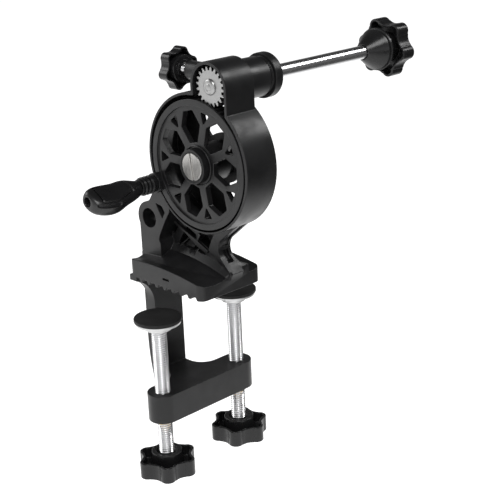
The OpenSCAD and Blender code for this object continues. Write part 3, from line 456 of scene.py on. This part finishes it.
def drag_screw():
    """Threaded drag screw along X."""
    low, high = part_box("drag_screw")
    bm = thread_mesh(*DRAG_THREAD, low.x / MM, high.x / MM)
    bmesh.ops.rotate(bm, verts=bm.verts, cent=(0, 0, 0),
                     matrix=Matrix.Rotation(math.pi / 2, 3, "Y"))
    bmesh.ops.translate(bm, verts=bm.verts, vec=(0, (low.y + high.y) / 2, (low.z + high.z) / 2))
    obj = piece(bm, "drag_screw_thread", BODY_OF["drag_screw"], BRIGHT_STEEL, ("drag_screw",))


def hub_rims():
    """Thin rim round the wheel's hub, and the wide hub ring of the drag knob."""
    turned_piece("gear_wheel_hub_rim", "gear_wheel", middle("axle_screw"), Y,
                 rounded_ring(HUB_RIM_R - HUB_RIM_WALL, HUB_RIM_R, SPOKE_FACE - HUB_RIM_OUT,
                              SPOKE_FACE + HUB_RIM_IN, HUB_RIM_EDGE), WHEEL_BLACK, closed=True)
    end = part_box("drag_knob")[1].x / MM
    low, high = (end - back for back in DRAG_RING_BACK)
    turned_piece("drag_knob_hub_ring", "drag_knob", middle("drag_screw"), X,
                 rounded_ring(*DRAG_RING, low, high, DRAG_RING_EDGE), KNOB_BLACK, closed=True)


def crank_grip():
    """Paddle grip: oval in section, waisted at the collar, with a raised pad and a side groove."""
    axis = middle("crank_spindle")
    start = Vector((axis.x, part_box("crank_grip")[0].y, axis.z))
    lean = math.radians(GRIP_LEAN)
    across = Vector((math.cos(lean), 0, -math.sin(lean)))
    rise = Vector((math.sin(lean), 0, math.cos(lean)))
    bm = bmesh.new()
    ring = bmesh.ops.create_circle(bm, segments=GRIP_SIDES, radius=1.0)["verts"]
    bmesh.ops.rotate(bm, verts=ring, cent=(0, 0, 0), matrix=Matrix.Rotation(math.pi / 2, 3, "X"))
    # Each point of the ring keeps its way out from the middle, and a new ring takes it over
    unit = [(v, v.co.copy()) for v in ring]
    edges = bm.edges[:]
    for place, (along, wide, thick, shift, square) in enumerate(GRIP_STATIONS):
        if place:
            grown = bmesh.ops.extrude_edge_only(bm, edges=edges)["geom"]
            edges = new_edges(grown)
            unit = [(v, min(unit, key=lambda pair: (pair[0].co - v.co).length)[1])
                    for v in grown if isinstance(v, bmesh.types.BMVert)]
        for vert, way in unit:
            side, up = (math.copysign(abs(c) ** (2 / square), c) for c in (way.x, way.z))
            vert.co = (Vector((start.x, start.y + along * MM, start.z))
                       + across * (side * wide + shift) * MM + rise * up * thick * MM)
    bmesh.ops.bridge_loops(bm, edges=[e for e in bm.edges if e.is_boundary])
    bmesh.ops.recalc_face_normals(bm, faces=bm.faces)

    def local(face):
        away = face.calc_center_median() - start
        return away.y / MM, away.dot(across) / MM, away.dot(rise) / MM

    def pressed(faces, steps):
        for inset, depth in steps:
            bmesh.ops.inset_region(bm, faces=faces, thickness=inset * MM, depth=depth * MM,
                                   use_even_offset=True)

    pressed([f for f in bm.faces if PAD_SPAN[0] < local(f)[0] < PAD_SPAN[1]
             and f.normal.dot(rise) > PAD_FACING], PAD_STEPS)
    pressed([f for f in bm.faces if GROOVE_SPAN[0] < local(f)[0] < GROOVE_SPAN[1]
             and GROOVE_FACING[0] < f.normal.dot(rise) < GROOVE_FACING[1]
             and local(f)[2] > GROOVE_HEIGHT and f.normal.dot(across) > GROOVE_SIDE
             and f.calc_area() > GROOVE_AREA * MM * MM], GROOVE_STEPS)
    obj = piece(bm, "crank_grip_paddle", BODY_OF["crank_grip"], GRIP_BLACK, ("crank_grip",), 180)
    smooth = obj.modifiers.new("smoothed", "SUBSURF")
    smooth.levels = smooth.render_levels = 2


def spool_cone():
    """Centring cone with a groove and a rounded lip at its wide end."""
    cone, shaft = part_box("spool_cone"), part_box("spool_shaft")
    low, high = (corner.y / MM for corner in cone)
    wide = (cone[1].x - cone[0].x) / 2 / MM
    bore = (shaft[1].x - shaft[0].x) / 2 / MM + CONE_CLEARANCE
    turned_piece("spool_cone_grooved", "spool_cone", middle("spool_cone"), Y, (
        (bore, low + 0.3), (bore + 0.3, low), (bore + 0.7, low), (bore + 1.1, low + 0.35),
        (wide - 1.3, high - 3.9), (wide - 0.9, high - 3.5), (wide - 0.9, high - 3.2),
        (wide - 1.5, high - 2.9), (wide - 1.5, high - 2.2), (wide - 0.9, high - 1.9),
        (wide - 0.3, high - 1.8), (wide, high - 1.5), (wide, high - 0.3), (wide - 0.3, high),
        (bore + 0.3, high), (bore, high - 0.3)),
        KNOB_BLACK, ("spool_cone",), closed=True)


def pinion_screw():
    """Low domed head of the pinion's screw, with its shank."""
    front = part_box("pinion_screw")[0].y / MM
    turned_piece("pinion_screw_head", "pinion_screw", middle("pinion_screw"), Y, [
        (r, front + y) for r, y in (
            (0.0, 0.0), (1.6, 0.0), (2.1, 0.35), (2.6, 0.1), (3.8, 0.35), (4.6, 0.8),
            (4.98, 1.5), (4.98, 1.8), (2.4, 1.8), (2.4, 10.6), (0.0, 10.6))],
        PINION_ZINC, ("pinion_screw",), 40)


paint_nodes()
dressed("main_frame", 0.3, spare=FRAME_SPARE)
dressed("gear_wheel", 0.3, 2)
hub_rims()
dressed("crank_collar", 0.4)
dressed("drive_flange", 0.4)
spool_cone()
dressed("spool_knob", 0.45)
dressed("drag_knob", 0.3, cut=knob_hub("drag_knob", X, *DRAG_HUB))
for side in ("left", "right"):
    knob = side + "_clamp_knob"
    dressed(knob, 0.45, cut=knob_hub(knob, Z, *CLAMP_HUB))
    dressed(side + "_pad_rubber", 0.5)
    dressed(side + "_pad_plate", 0.4)
    clamp_screw(side)
dressed("pinion_gear", 0.2)
dressed("axle_screw", 0.25)
crank_grip()
pinion_screw()
drag_screw()


# Studio

def reckon(tree, operation, first, second):
    """A sum, product or the like of two sockets or numbers."""
    node = tree.nodes.new("ShaderNodeMath")
    node.operation = operation
    for socket, value in zip(node.inputs, (first, second)):
        if isinstance(value, (int, float)):
            socket.default_value = value
        else:
            tree.links.new(value, socket)
    return node.outputs[0]


def either(tree, factor, first, second):
    """Changes from the first number or socket to the second as the factor goes from 0 to 1."""
    node = tree.nodes.new("ShaderNodeMix")
    tree.links.new(factor, node.inputs["Factor"])
    for name, value in (("A", first), ("B", second)):
        if isinstance(value, (int, float)):
            node.inputs[name].default_value = value
        else:
            tree.links.new(value, node.inputs[name])
    return node.outputs["Result"]


def ray_and_place(tree, coordinates):
    """Outputs that tell the kind of ray and the X, Y and Z of where it looks."""
    path = tree.nodes.new("ShaderNodeLightPath")
    where = tree.nodes.new("ShaderNodeTexCoord")
    split = tree.nodes.new("ShaderNodeSeparateXYZ")
    tree.links.new(where.outputs[coordinates], split.inputs["Vector"])
    return path.outputs, split.outputs


def studio_air():
    """White seen straight on; in reflections white in front, dim behind and overhead."""
    world = bpy.data.worlds.new("studio_air")
    bpy.context.scene.world = world
    world.use_nodes = True
    tree = world.node_tree
    tree.nodes.clear()
    out = tree.nodes.new("ShaderNodeOutputWorld")
    air = tree.nodes.new("ShaderNodeBackground")
    air.inputs["Color"].default_value = (1, 1, 1, 1)
    ray, place = ray_and_place(tree, "Generated")
    ceiling = mapped(tree, place["Z"], 0.05, 0.55, 1.0, 0.12)
    dimmest = mapped(tree, place["X"], -0.7, 0.1, 0.42, 0.12)
    behind = either(tree, mapped(tree, place["Y"], -0.2, 0.35, 0.0, 1.0), 1.0, dimmest)
    seen = reckon(tree, "MULTIPLY", ceiling, behind)
    mirrored = reckon(tree, "MAXIMUM", ray["Is Glossy Ray"], ray["Is Transmission Ray"])
    strength = either(tree, mirrored, DIFFUSE_AIR, seen)
    strength = either(tree, ray["Is Camera Ray"], strength, 1.0)
    tree.links.new(strength, air.inputs["Strength"])
    tree.links.new(air.outputs[0], out.inputs["Surface"])


def studio_floor():
    """Pale floor under the winder; its glow in reflections fades towards the back right."""
    bm = bmesh.new()
    bmesh.ops.create_grid(bm, x_segments=1, y_segments=1, size=FLOOR_HALF,
                          matrix=Matrix.Translation((0, 0, cad_box[0].z - FLOOR_DROP)))
    mesh = bpy.data.meshes.new("floor")
    bm.to_mesh(mesh)
    bm.free()
    floor = bpy.data.objects.new("floor", mesh)
    bpy.context.scene.collection.objects.link(floor)
    mat, tree, skin = shader("floor_paper", (FLOOR_PAPER,) * 3, 0.9)
    skin.inputs["Specular IOR Level"].default_value = 0.0
    skin.inputs["Emission Color"].default_value = (1, 1, 1, 1)
    ray, place = ray_and_place(tree, "Object")
    far = mapped(tree, reckon(tree, "ADD", place["X"], place["Y"]), 0.25, 0.75, 0.0, 1.0)
    dim = reckon(tree, "MULTIPLY", far, ray["Is Glossy Ray"])
    paper = tree.nodes.new("ShaderNodeMix")
    paper.data_type = "RGBA"
    tree.links.new(dim, paper.inputs["Factor"])
    # A colour mix has its two colours at inputs 6 and 7 and its result at output 2
    paper.inputs[6].default_value = (*(FLOOR_PAPER,) * 3, 1)
    paper.inputs[7].default_value = (*(FLOOR_FAR,) * 3, 1)
    tree.links.new(paper.outputs[2], skin.inputs["Base Color"])
    seen = reckon(tree, "MAXIMUM", ray["Is Camera Ray"], ray["Is Glossy Ray"])
    glow = either(tree, dim, FLOOR_GLOW, FLOOR_FAR)
    tree.links.new(reckon(tree, "MULTIPLY", seen, glow), skin.inputs["Emission Strength"])
    mesh.materials.append(mat)


def studio_lamps():
    """Soft lamps in front, at the left and high behind."""
    for name, place, size, power in LAMPS:
        lamp = bpy.data.lights.new(name, "AREA")
        lamp.shape = "DISK"
        lamp.size = size
        lamp.energy = power
        obj = bpy.data.objects.new(name, lamp)
        bpy.context.scene.collection.objects.link(obj)
        obj.location = place
        aim = LAMP_AIM - obj.location
        obj.rotation_euler = aim.to_track_quat("-Z", "Y").to_euler()


def photo_camera():
    """The photograph's viewing angle."""
    cam = bpy.data.cameras.new("photo_camera")
    cam.sensor_width = 36.0
    cam.lens = CAMERA_LENS
    cam.clip_start = 0.01
    cam.clip_end = 20.0
    obj = bpy.data.objects.new("photo_camera", cam)
    bpy.context.scene.collection.objects.link(obj)
    turn = Matrix((CAMERA_RIGHT, -CAMERA_DOWN, -CAMERA_AHEAD)).transposed()
    obj.matrix_world = Matrix.Translation(CAMERA_PLACE) @ turn.to_4x4()
    bpy.context.scene.camera = obj


bpy.context.scene.view_settings.view_transform = "Standard"
studio_air()
studio_floor()
studio_lamps()
photo_camera()
